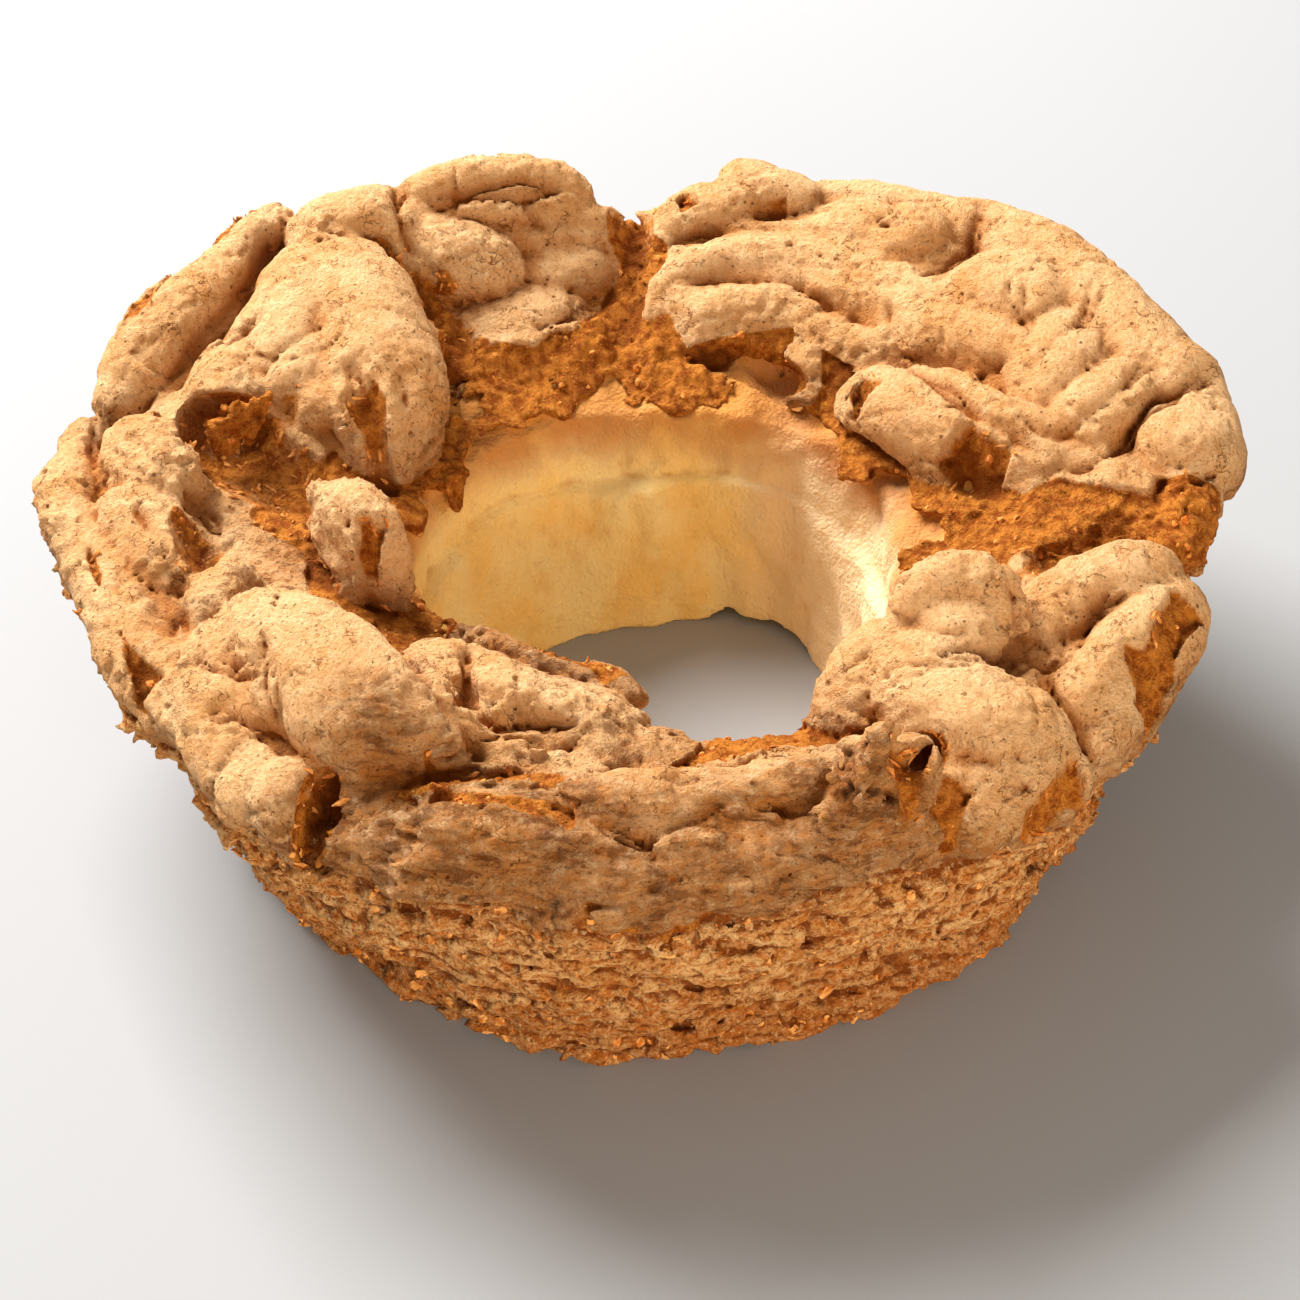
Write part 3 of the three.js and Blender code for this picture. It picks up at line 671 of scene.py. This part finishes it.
def paint(red, green, blue):
    """A colour given as 0 to 255 on a screen, as the shader's own numbers."""
    shares = [value / 255 for value in (red, green, blue)]
    linear = [((v + 0.055) / 1.055) ** 2.4 if v > 0.04 else v / 12.92 for v in shares]
    return (*linear, 1)


def crumb_material(name):
    """A new material, the term its nodes are added by, and the place on the object in mm."""
    material = bpy.data.materials.new(name)
    material.use_nodes = True
    material.node_tree.nodes.clear()
    term = Term(material.node_tree)
    place = term.node("ShaderNodeTexCoord", output="Object")
    place = term.node("ShaderNodeVectorMath", {"operation": "SCALE"}, {0: place, "Scale": 1 / MM})
    return material, term, place


def noise(term, place, size, detail=2.0, roughness=0.5, **settings):
    return term.node("ShaderNodeTexNoise", settings,
                     {"Vector": place, "Scale": 1 / size, "Detail": detail, "Roughness": roughness})


def pores(term, place, spacing, share):
    """Round pores of many sizes, 1 in the middle of each. The share of cells with one is given."""
    cells = {"Vector": place, "Scale": 1 / spacing}
    away = term.node("ShaderNodeTexVoronoi", {}, cells, "Distance")
    kind = term.node("ShaderNodeTexVoronoi", {}, cells, "Color")
    kind = term.node("ShaderNodeSeparateColor", {}, {0: kind}, 0)
    return (away - (kind + (share - 1)) * (0.28 / share)).step(0.03, -0.06)


def attribute(term, name):
    return term.node("ShaderNodeAttribute", {"attribute_name": name}, output="Fac")


def finish_material(term, colour, roughness, height, depth):
    """Ends a material: its colour, and bumps of the given depth in mm where the height is 1."""
    bump = term.node("ShaderNodeBump", {}, {"Height": height, "Distance": depth * MM, "Strength": 1.0})
    look = {"Base Color": colour, "Roughness": roughness, "Normal": bump, "Specular IOR Level": 0.1}
    surface = term.node("ShaderNodeBsdfPrincipled", {}, look)
    term.node("ShaderNodeOutputMaterial", {}, {"Surface": surface})


def crust_finish():
    material, term, place = crumb_material("baked crust")
    bare, browning_and_front_shade, valley = (attribute(term, name) for name in ("torn", "browning_and_front_shade", "valley"))
    cavity, crease = attribute(term, "cavity"), attribute(term, "crease")
    blotches = noise(term, place, 24.0, 4.0)
    patches = noise(term, place, 11.0, 5.0, 0.65)
    mottle = noise(term, place, 3.2, 5.0, 0.7)
    grain = noise(term, place, 1.1, 4.0, 0.75)
    folds = noise(term, place, 7.0, 4.0, 0.55)
    level = term.node("ShaderNodeVectorMath", {"operation": "MULTIPLY"}, {0: place, 1: (0.3, 0.3, 1.0)})
    streaks = noise(term, level, 2.6, 4.0, 0.65)
    lines = term.node("ShaderNodeMath", {"operation": "ABSOLUTE"}, {0: folds - 0.5}).step(0.014, 0.002)
    lines = lines * patches.step(0.5, 0.6)
    pits = pores(term, place, 1.8, 0.16)
    pricks = pores(term, place, 1.1, 0.6)
    colour = blotches.step(0.35, 0.65).mixed(paint(250, 198, 140), paint(234, 174, 112))
    # dark brown low on the crust, and painted shade on the front lip
    colour = (browning_and_front_shade * 0.75).mixed(colour, paint(144, 90, 42))
    colour = (patches.step(0.5, 0.7) * 0.5).mixed(colour, paint(216, 146, 74))
    # mottle tone that differs, darkened in the bumps' low spots as painted shade and lightened on their
    # tops as painted highlight
    colour = (mottle.step(0.5, 0.34) * (browning_and_front_shade * 0.3 + 0.35)).mixed(colour, paint(194, 118, 46))
    colour = (mottle.step(0.5, 0.68) * 0.35).mixed(colour, paint(252, 216, 166))
    # darker and more orange in hollows, creases and crease valleys: painted shade
    colour = (cavity.step(0.42, 0.68) * 0.7).mixed(colour, paint(198, 116, 38))
    colour = (crease.step(0.53, 0.68) * 0.8).mixed(colour, paint(158, 80, 16))
    colour = (valley.step(0.25, 0.9) * 0.7).mixed(colour, paint(160, 82, 16))
    # darker where the grain bumps are low: painted shade
    colour = (grain.step(0.49, 0.38) * (browning_and_front_shade * 0.3 + 0.3)).mixed(colour, paint(176, 100, 38))
    colour = (browning_and_front_shade * streaks.step(0.5, 0.38) * 0.7).mixed(colour, paint(110, 58, 18))
    colour = (browning_and_front_shade * streaks.step(0.54, 0.66) * 0.55).mixed(colour, paint(222, 164, 104))
    colour = (lines * 0.75).mixed(colour, paint(134, 74, 24))
    # dark pores: painted shade inside the pits
    colour = (pits * 0.7).mixed(colour, paint(120, 62, 18))
    colour = (pricks * 0.5).mixed(colour, paint(140, 76, 24))
    crumb = mottle.step(0.38, 0.6).mixed(paint(156, 76, 10), paint(214, 130, 44))
    crumb = (grain.step(0.54, 0.7) * 0.45).mixed(crumb, paint(236, 172, 96))
    # darker in the torn crumb's hollows and creases: painted shade
    crumb = (cavity.step(0.5, 0.68) * 0.8).mixed(crumb, paint(140, 66, 8))
    crumb = (crease.step(0.55, 0.75) * 0.6).mixed(crumb, paint(116, 48, 4))
    colour = bare.step(0.25, 0.75).mixed(colour, crumb)
    bumps = mottle * (bare * 1.8 + 0.8) + grain * 2.3 + browning_and_front_shade * streaks * 2.0
    bumps = bumps - lines * 0.5 - pits * 0.8 - pricks * 0.6
    finish_material(term, colour, 0.8, bumps, 1.0)
    return material


def cake_piece(piece, material):
    piece.data.materials.append(material)
    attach(piece, "root")
    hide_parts("angel_cake")


skin_material = crust_finish()
crust = np.maximum(skin - 0.3 - 0.4 * smooth(Z - EDGE, 5, 0), EDGE - Z)
crust_pieces = []
for name, (start, end) in PLATES.items():
    away = np.abs((BEARING - (start + end) / 2 + 180) % 360 - 180)
    beyond = (away - (end - start) / 2) * math.radians(1) * RADIUS  # mm past the plate's end
    field = np.maximum(crust + 0.4 * smooth(beyond, -4, 2), beyond - 1.5)
    crust_pieces.append(piece_from(field, name.replace(" ", "_"), **MASKS))
    cake_piece(crust_pieces[-1], skin_material)

# ---------------------------------------------------------------- the side crumb
# Real: soft crumb left bare where the pan's wall pulled the crust away, full of air, lying in
# ragged level ledges. Here it is a mesh of the form's outer side that goes on below the crust.
INSIDE = 78.0  # mm from the axis, where the side crumb meets the hole crumb, out of sight
OVERLAP = 2  # mm that the two crumbs share there
CRUMB_RISE = 5  # mm that the crumb goes on above the crust's edge


def side_finish():
    material, term, place = crumb_material("side crumb")
    cavity, crease = attribute(term, "cavity"), attribute(term, "crease")
    height = term.node("ShaderNodeSeparateXYZ", {}, {0: place}, 2)
    level = term.node("ShaderNodeVectorMath", {"operation": "MULTIPLY"}, {0: place, 1: (0.5, 0.5, 1.0)})
    patches = noise(term, level, 9.0, 4.0, 0.6)
    mottle = noise(term, level, 2.2, 5.0, 0.7)
    grain = noise(term, place, 1.3, 4.0, 0.75)
    pits = pores(term, level, 1.8, 0.7)
    colour = mottle.step(0.38, 0.62).mixed(paint(214, 126, 52), paint(255, 202, 132))
    colour = (patches.step(0.45, 0.65) * 0.5).mixed(colour, paint(212, 134, 56))
    colour = ((height + patches * 20).step(46, 16) * 0.6).mixed(colour, paint(184, 98, 26))
    colour = ((height + patches * 10).step(62, 70) * 0.6).mixed(colour, paint(176, 110, 50))
    # darker in creases and hollows, under the ledges: painted shade
    colour = (crease.step(0.48, 0.62) * 0.9).mixed(colour, paint(132, 62, 10))
    colour = (cavity.step(0.5, 0.62) * 0.4).mixed(colour, paint(156, 82, 24))
    # dark pores: painted shade inside the pits
    colour = (pits * 0.6).mixed(colour, paint(140, 74, 24))
    # darker in the grain bumps' low spots as painted shade; pale crumb specks on their tops, lightened
    # further as painted highlight
    colour = (grain.step(0.49, 0.38) * 0.75).mixed(colour, paint(146, 72, 16))
    colour = (grain.step(0.54, 0.66) * 0.6).mixed(colour, paint(255, 212, 152))
    finish_material(term, colour, 0.85, grain * 2.4 + mottle * 2.4 - pits * 0.8, 1.0)
    return material


body = skin + 0.3 * smooth(Z - EDGE, -6, -1) + 2.6 * smooth(Z - EDGE, 0.0, 3.5)
body = np.maximum(body, -Z)
body = np.maximum(body, Z - EDGE - CRUMB_RISE)
side_crumb = piece_from(np.maximum(body, INSIDE - RADIUS), "side_crumb", **MASKS)
side_material = side_finish()
cake_piece(side_crumb, side_material)

# ---------------------------------------------------------------- the hole crumb
# Real: the palest crumb, smooth where it slid off the pan's tube, with a faint ledge part way up and
# a few darker smears. Here it is a mesh of the form's inner side.


def hole_finish():
    material, term, place = crumb_material("hole crumb")
    crease = attribute(term, "crease")
    height = term.node("ShaderNodeSeparateXYZ", {}, {0: place}, 2)
    upright = term.node("ShaderNodeVectorMath", {"operation": "MULTIPLY"}, {0: place, 1: (1.0, 1.0, 0.7)})
    patches = noise(term, upright, 16.0, 3.0, 0.5)
    mottle = noise(term, upright, 5.0, 5.0, 0.65)
    grain = noise(term, place, 1.0, 3.0, 0.6)
    across = term.node("ShaderNodeSeparateXYZ", {}, {0: place}, 0)
    colour = patches.step(0.3, 0.7).mixed(paint(252, 210, 126), paint(255, 232, 168))
    # paler towards +X, on the side of the hole that faces the window: painted light
    colour = (across + patches * 30).step(30, 55).mixed(colour, paint(238, 204, 158))
    colour = (mottle.step(0.5, 0.75) * 0.35).mixed(colour, paint(226, 166, 84))
    colour = ((height + patches * 24).step(56, 72) * 0.85).mixed(colour, paint(190, 112, 36))
    # darker in creases: painted shade
    colour = (crease.step(0.54, 0.7) * 0.6).mixed(colour, paint(206, 136, 52))
    finish_material(term, colour, 0.8, grain * 0.8 + mottle * 1.2, 1.0)
    return material


hole_crumb = piece_from(np.maximum(body, RADIUS - INSIDE - OVERLAP), "hole_crumb", **MASKS)
cake_piece(hole_crumb, hole_finish())

# ---------------------------------------------------------------- crumbs and shreds
# Real: crumbs clinging to the bare sides and the torn places, and thin shreds along the crust's torn
# edges. Here bits are strewn over the pieces above by one set of nodes and kept as meshes.
FLATNESS = {"crumbs": (1, 1, 0.8), "flakes": (1.6, 1.0, 0.35), "shreds": (2.6, 0.5, 0.4)}


def strewing_nodes():
    """Nodes that strew bits over a mesh: as many per square mm as its 'share' attribute says."""
    tree = bpy.data.node_groups.new("strewn bits", "GeometryNodeTree")
    for name, kind in (("Mesh", "Geometry"), ("Seed", "Int"), ("Size", "Float"), ("Shape", "Vector"),
                       ("Material", "Material")):
        tree.interface.new_socket(name, in_out="INPUT", socket_type="NodeSocket" + kind)
    tree.interface.new_socket("Bits", in_out="OUTPUT", socket_type="NodeSocketGeometry")
    given = tree.nodes.new("NodeGroupInput")
    mesh, seed, size, shape, material = (Term(tree, given.outputs[k]) for k in range(5))
    term = Term(tree)
    share = term.node("GeometryNodeInputNamedAttribute", {"data_type": "FLOAT"}, {"Name": "share"})
    spread = {"Mesh": mesh, "Density": share * (1 / MM**2), "Seed": seed}
    points = term.node("GeometryNodeDistributePointsOnFaces", {}, spread)
    turned = Term(tree, points.socket.node.outputs["Rotation"])
    bit = term.node("GeometryNodeMeshIcoSphere", {}, {"Radius": 1.0, "Subdivisions": 2})
    spin = term.node("FunctionNodeRandomValue", {"data_type": "FLOAT_VECTOR"},
                     {0: (-0.35, -0.35, -3.14), 1: (0.35, 0.35, 3.14), "Seed": seed + 1})
    turned = term.node("FunctionNodeRotateRotation", {"rotation_space": "LOCAL"},
                       {"Rotation": turned, "Rotate By": spin})
    girth = term.node("FunctionNodeRandomValue", {"data_type": "FLOAT"},
                      {2: 0.35, 3: 1.0, "Seed": seed + 2}, 1)
    scale = term.node("ShaderNodeVectorMath", {"operation": "SCALE"},
                      {0: shape, "Scale": girth * girth * size})
    bits = term.node("GeometryNodeInstanceOnPoints", {},
                     {"Points": points, "Instance": bit, "Rotation": turned, "Scale": scale})
    bits = term.node("GeometryNodeRealizeInstances", {}, {"Geometry": bits})
    here = term.node("GeometryNodeInputPosition")
    rough = term.node("ShaderNodeTexNoise", {}, {"Vector": here, "Scale": 900.0, "Detail": 1.0}, 1)
    rough = term.node("ShaderNodeVectorMath", {"operation": "SUBTRACT"}, {0: rough, 1: (0.5, 0.5, 0.5)})
    rough = term.node("ShaderNodeVectorMath", {"operation": "SCALE"}, {0: rough, "Scale": size * 1.6})
    bits = term.node("GeometryNodeSetPosition", {}, {"Geometry": bits, "Offset": rough})
    bits = term.node("GeometryNodeSetMaterial", {}, {"Geometry": bits, "Material": material})
    given_back = tree.nodes.new("NodeGroupOutput")
    tree.links.new(bits.socket, given_back.inputs[0])
    return tree


def bits_finish(name, pale, dark):
    material, term, place = crumb_material(name)
    mottle = noise(term, place, 2.5, 3.0, 0.6)
    grain = noise(term, place, 0.6, 2.0, 0.6)
    colour = mottle.step(0.35, 0.65).mixed(paint(*pale), paint(*dark))
    finish_material(term, colour, 0.85, grain, 0.4)
    return material


strewing = strewing_nodes()


def strew(name, hosts, share_at, size, seed, material):
    """Bits over the host pieces, as one piece. share_at gives how many stand on a square mm, from the
    places round the hole's axis in mm and a function that reads the mesh's attributes."""
    meshes = []
    for k, host in enumerate(hosts):
        count = len(host.data.vertices)
        places = np.empty(3 * count, dtype=np.float32)
        host.data.vertices.foreach_get("co", places)
        places = (places.reshape(-1, 3) - np.array(HOLE_AXIS)) / MM

        def read(label):
            values = np.empty(count, dtype=np.float32)
            host.data.attributes[label].data.foreach_get("value", values)
            return values

        ground = bpy.data.objects.new(name + " ground", host.data.copy())
        bpy.context.scene.collection.objects.link(ground)
        share = ground.data.attributes.new("share", "FLOAT", "POINT")
        share.data.foreach_set("value", np.clip(share_at(places, read), 0, 2).astype(np.float32))
        nodes = ground.modifiers.new("bits", "NODES")
        nodes.node_group = strewing
        sockets = strewing.interface.items_tree
        inputs = {socket.name: socket.identifier for socket in sockets if socket.in_out == "INPUT"}
        values = {"Seed": seed + k, "Size": size * MM, "Shape": FLATNESS[name], "Material": material}
        for label, value in values.items():
            nodes[inputs[label]] = value
        apply_modifier(ground, nodes)
        meshes.append(ground)
    chosen = {"active_object": meshes[0], "object": meshes[0], "selected_editable_objects": meshes}
    with bpy.context.temp_override(**chosen):
        bpy.ops.object.join()
    bits = meshes[0]
    bits.name = bits.data.name = name
    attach(bits, "root")
    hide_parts("angel_cake")
    return bits


def side_share(places, read):
    radius, height = np.hypot(places[:, 0], places[:, 1]), places[:, 2]
    return (0.01 + 0.05 * smooth(height, 12, 4)) * smooth(radius, 90, 96) * smooth(height, 1, 3)


def torn_share(places, read):
    return 0.02 * read("torn") * smooth(read("cavity"), 0.6, 0.5)


def edge_share(places, read):
    return 0.08 * np.clip(4 * read("torn") * (1 - read("torn")), 0, 1)


side_bits = bits_finish("side flakes", (236, 176, 102), (194, 110, 38))
torn_bits = bits_finish("loose crumbs", (230, 160, 84), (184, 96, 28))
edge_bits = bits_finish("shreds", (222, 154, 82), (176, 94, 30))
strew("flakes", [side_crumb], side_share, 1.2, 11, side_bits)
strew("crumbs", crust_pieces, torn_share, 1.0, 31, torn_bits)
strew("shreds", crust_pieces, edge_share, 1.0, 51, edge_bits)

# ---------------------------------------------------------------- floor, light and camera
# A plain pale floor, one soft window behind the cake to the left, a weak warm light low in front, and
# a camera that looks down on the cake from the front.
floor_mesh = bpy.data.meshes.new("floor")
floor_mesh.from_pydata([(-3, -3, 0), (3, -3, 0), (3, 3, 0), (-3, 3, 0)], [], [(0, 1, 2, 3)])
floor = bpy.data.objects.new("floor", floor_mesh)
bpy.context.scene.collection.objects.link(floor)
floor_material = bpy.data.materials.new("floor")
floor_material.use_nodes = True
floor_surface = floor_material.node_tree.nodes["Principled BSDF"]
floor_surface.inputs["Base Color"].default_value = (0.33, 0.33, 0.332, 1)
floor_surface.inputs["Roughness"].default_value = 0.9
floor_mesh.materials.append(floor_material)
floor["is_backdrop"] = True

world = bpy.data.worlds.new("studio")
world.use_nodes = True
world.node_tree.nodes["Background"].inputs[0].default_value = (1, 0.96, 0.9, 1)
world.node_tree.nodes["Background"].inputs[1].default_value = 0.42
bpy.context.scene.world = world


def softbox(name, place, width, watts, tint=(1, 1, 1)):
    light = bpy.data.lights.new(name, "AREA")
    light.energy, light.size, light.color = watts, width, tint
    lamp = bpy.data.objects.new(name, light)
    lamp.location = Vector(place)
    lamp.rotation_euler = (Vector((0, 0, 0.04)) - lamp.location).to_track_quat("-Z", "Y").to_euler()
    bpy.context.scene.collection.objects.link(lamp)


softbox("window", (-0.85, 1.05, 1.25), 1.1, 106)
softbox("low fill", (0.35, -0.95, 0.22), 0.5, 10.5, (1.0, 0.84, 0.66))

CAMERA_TILT = math.radians(41.3)  # down from level
CAMERA_DISTANCE = 753 * MM
CAMERA_ROLL = math.radians(-0.8)
CAMERA_LENS = 81.8  # on a 36 mm sensor
look_at = HOLE_AXIS + Vector((-2.9, 38, 0)) * MM

camera = bpy.data.objects.new("camera", bpy.data.cameras.new("camera"))
camera.data.lens = CAMERA_LENS
camera.data.clip_start = 0.01
back_off = Vector((0, -math.cos(CAMERA_TILT), math.sin(CAMERA_TILT))) * CAMERA_DISTANCE
turn = Matrix.Rotation(math.pi / 2 - CAMERA_TILT, 4, "X") @ Matrix.Rotation(CAMERA_ROLL, 4, "Z")
camera.matrix_world = Matrix.Translation(look_at + back_off) @ turn
bpy.context.scene.collection.objects.link(camera)
bpy.context.scene.camera = camera
bpy.context.scene.view_settings.view_transform = "Standard"

sizes = {"cad": cad_bounds, "visual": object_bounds()}
sizes = {name: [list(corner) for corner in corners] for name, corners in sizes.items()}
